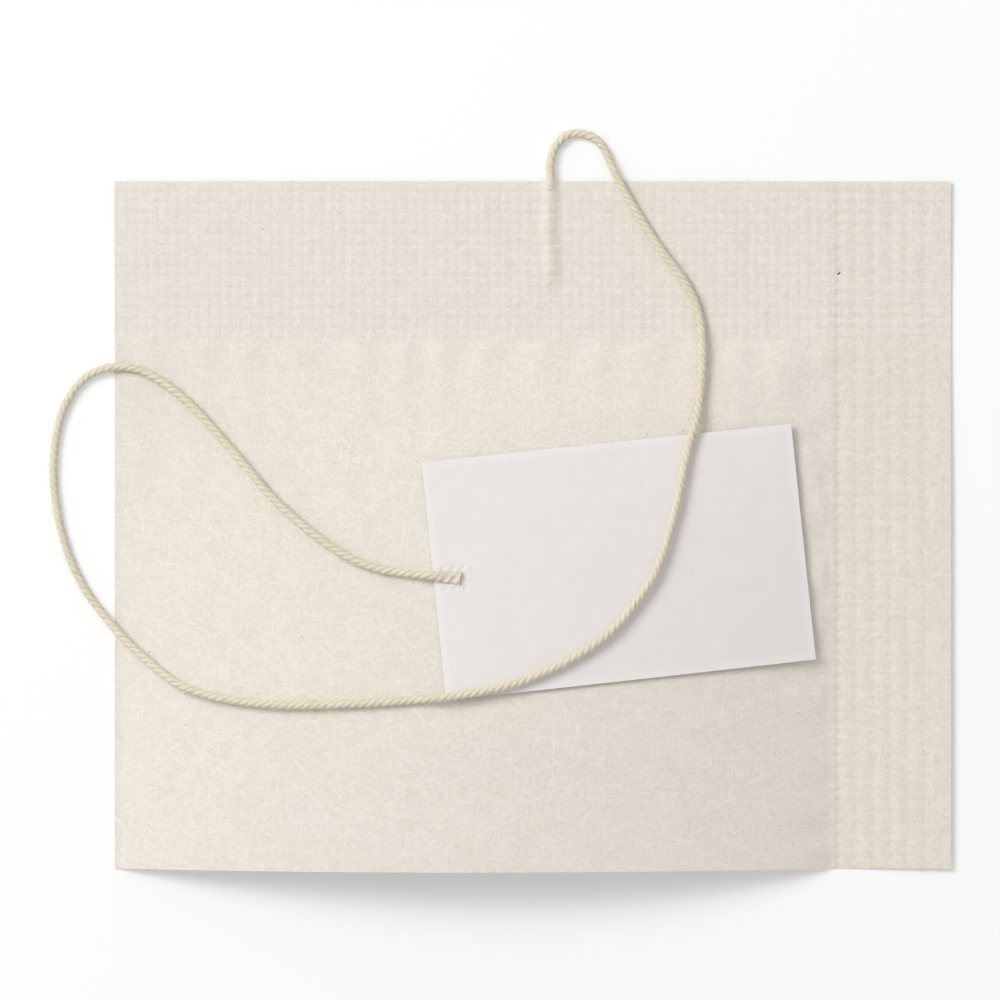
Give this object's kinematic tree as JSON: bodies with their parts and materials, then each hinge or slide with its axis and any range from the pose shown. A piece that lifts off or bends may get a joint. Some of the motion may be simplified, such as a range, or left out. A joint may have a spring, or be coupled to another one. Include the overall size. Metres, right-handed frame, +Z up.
{
  "type": "empty tea bag",
  "caption": "Flat pouch of heat-seal filter paper, folded at one side, sealed at two and open at one, with a cotton string and a blank tag.",
  "frame": {"origin": "middle of the back panel, on the surface that the bag lies on", "axes": "+X from the fold to the side seal, +Y from the open mouth to the sealed top edge, +Z up from the back panel to the face"},
  "size_m": [0.0755, 0.0617, 0.0067],
  "materials": {
    "filter_paper": "soft matt",
    "cotton_string": "twisted cotton",
    "tag_card": "smooth matt"
  },
  "bodies": {
    "root": {"pouch": "filter_paper", "string": "cotton_string", "tag": "tag_card"}
  },
  "joints": []
}
